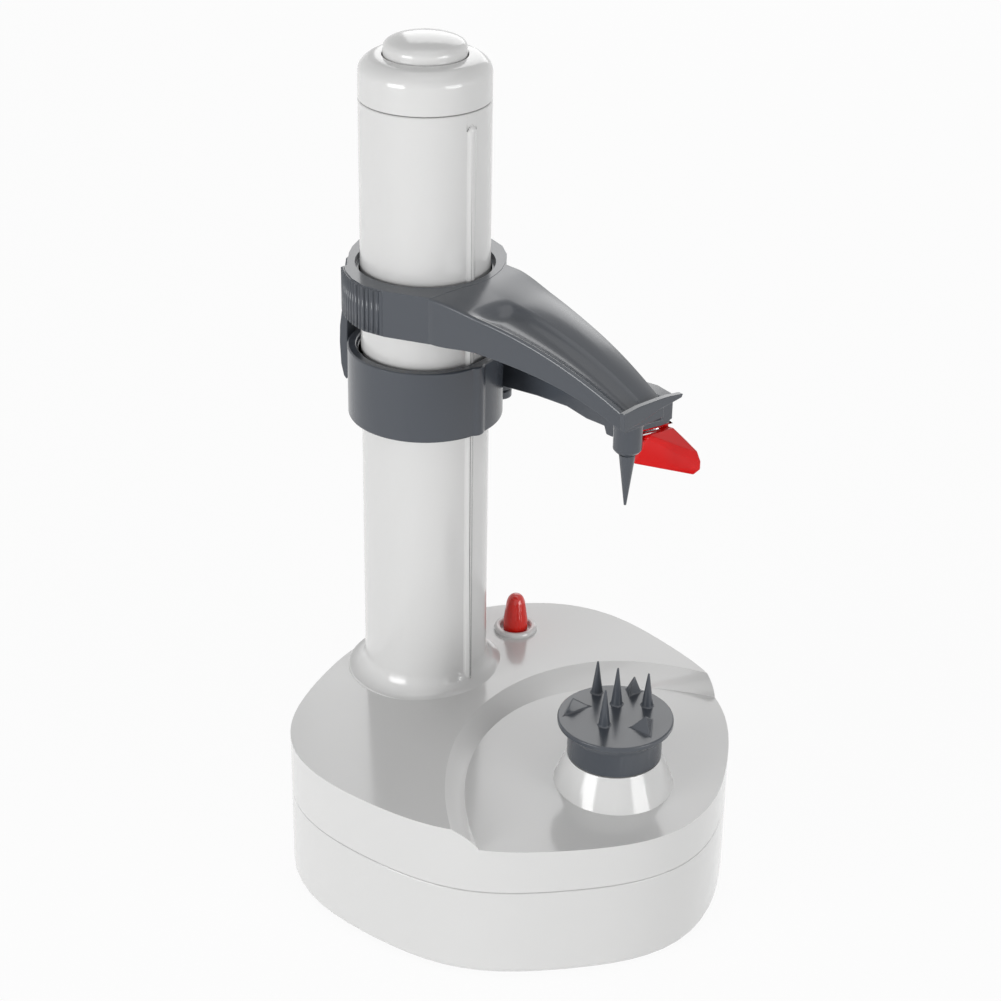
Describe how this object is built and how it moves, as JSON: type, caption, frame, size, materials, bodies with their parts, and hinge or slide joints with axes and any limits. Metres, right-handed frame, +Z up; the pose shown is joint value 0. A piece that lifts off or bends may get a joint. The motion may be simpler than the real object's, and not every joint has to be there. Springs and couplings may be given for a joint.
{
  "type": "electric vegetable peeler",
  "caption": "Battery-driven table-top vegetable peeler: rounded base, turning pronged food holder, upright column with a travelling blade arm and a spike arm set by hand.",
  "frame": {"origin": "on the table, under the middle of the whole part", "axes": "+Z up, +X from the column towards the food holder, +Y to the side of the start button"},
  "size_m": [0.1556, 0.1479, 0.2851],
  "materials": {
    "white_plastic": "gloss",
    "grey_plastic": "satin gloss",
    "red_plastic": "gloss",
    "button_plastic": "gloss, slightly translucent",
    "inner_plastic": "matte",
    "gear_plastic": "matte",
    "switch_plastic": "matte",
    "foot_rubber": "matte",
    "steel": "bright",
    "blade_steel": "polished",
    "bronze": "sintered",
    "motor_can": "satin",
    "cell_wrap": "printed wrap, no marks"
  },
  "bodies": {
    "base": {"base_tub": "white_plastic", "base_cover": "white_plastic", "battery_door": "white_plastic", "door_screw": "steel", "rubber_feet": "foot_rubber", "base_screws": "steel", "gear_plate": "inner_plastic", "plate_screws": "steel", "motor": "motor_can", "gear_pins": "steel", "gear_clips": "switch_plastic", "spindle_bush": "bronze", "screw_bush": "bronze", "column": "white_plastic", "column_screws": "steel", "column_cap": "white_plastic", "cap_disc": "white_plastic", "top_bearing": "inner_plastic", "start_switch": "switch_plastic", "limit_switch": "switch_plastic", "battery_cells": "cell_wrap", "battery_contacts": "steel", "button_spring": "steel"},
    "spindle": {"spindle_shaft": "steel", "spindle_gear": "gear_plastic", "food_holder": "grey_plastic"},
    "screw": {"lead_screw": "steel", "screw_gear": "gear_plastic"},
    "idler": {"idler_gear": "gear_plastic"},
    "second": {"second_gear": "gear_plastic"},
    "first": {"first_gear": "gear_plastic"},
    "rotor": {"motor_shaft": "steel", "motor_pinion": "gear_plastic"},
    "carriage": {"drive_nut": "gear_plastic", "nut_screw": "steel", "carriage_collar": "grey_plastic", "arm_pin": "steel", "arm_spring": "steel"},
    "arm": {"peel_arm": "grey_plastic", "head_pin": "steel"},
    "head": {"blade_head": "red_plastic", "blade": "blade_steel"},
    "upper_ring": {"holder_arm": "grey_plastic", "lever_pin": "steel", "lever_spring": "steel"},
    "spike": {"food_spike": "grey_plastic"},
    "lever": {"release_lever": "grey_plastic"},
    "button": {"start_button": "button_plastic"}
  },
  "joints": [
    {"name": "spindle_turn", "type": "hinge", "parent": "base", "child": "spindle", "pos_m": [0.0443, 0, 0.04], "axis": [0, 0, 1], "range_deg": [0, 5761]},
    {"name": "screw_turn", "type": "hinge", "parent": "base", "child": "screw", "pos_m": [-0.0479, 0, 0.04], "axis": [0, 0, 1], "range_deg": [0, 5761]},
    {"name": "idler_turn", "type": "hinge", "parent": "base", "child": "idler", "pos_m": [-0.0018, 0.00609, 0.026], "axis": [0, 0, 1], "range_deg": [-3640, 0]},
    {"name": "second_turn", "type": "hinge", "parent": "base", "child": "second", "pos_m": [-0.0018, -0.03141, 0.03], "axis": [0, 0, 1], "range_deg": [0, 11522]},
    {"name": "first_turn", "type": "hinge", "parent": "base", "child": "first", "pos_m": [0.02138, -0.03763, 0.034], "axis": [0, 0, 1], "range_deg": [-46090, 0]},
    {"name": "motor_turn", "type": "hinge", "parent": "base", "child": "rotor", "pos_m": [0.04265, -0.03388, 0.037], "axis": [0, 0, 1], "range_deg": [0, 161300]},
    {"name": "carriage_slide", "type": "slide", "parent": "base", "child": "carriage", "axis": [0, 0, 1], "range_m": [-0.08, 0]},
    {"name": "arm_swing", "type": "hinge", "parent": "carriage", "child": "arm", "pos_m": [-0.03897, 0.02654, 0.164], "axis": [0, 0, 1], "range_deg": [0, 42], "stiffness_Nm_per_rad": 0.03, "springref_deg": -17.19},
    {"name": "head_tilt", "type": "hinge", "parent": "arm", "child": "head", "pos_m": [0.0261, 0.025, 0.165], "axis": [0, 0, 1], "range_deg": [-6, 6]},
    {"name": "ring_slide", "type": "slide", "parent": "base", "child": "upper_ring", "axis": [0, 0, 1], "range_m": [0, 0.05]},
    {"name": "spike_spin", "type": "hinge", "parent": "upper_ring", "child": "spike", "pos_m": [0.0443, 0, 0.175], "axis": [0, 0, 1], "continuous": true},
    {"name": "lever_press", "type": "hinge", "parent": "upper_ring", "child": "lever", "pos_m": [-0.07167, -0.00865, 0.2003], "axis": [-0.342, 0.9397, 0], "range_deg": [0, 4], "stiffness_Nm_per_rad": 0.05, "springref_deg": -5.73},
    {"name": "button_press", "type": "slide", "parent": "base", "child": "button", "axis": [0, 0, -1], "range_m": [0, 0.0025], "stiffness_N_per_m": 300, "springref_m": -0.001, "deforming": ["button_spring"]}
  ],
  "couplings": [
    {"joint": "spindle_turn", "follows": "carriage_slide", "rad_per_m": -1256.6},
    {"joint": "screw_turn", "follows": "carriage_slide", "rad_per_m": -1256.6},
    {"joint": "idler_turn", "follows": "carriage_slide", "rad_per_m": 793.67},
    {"joint": "second_turn", "follows": "carriage_slide", "rad_per_m": -2513.3},
    {"joint": "first_turn", "follows": "carriage_slide", "rad_per_m": 10053},
    {"joint": "motor_turn", "follows": "carriage_slide", "rad_per_m": -35186}
  ]
}
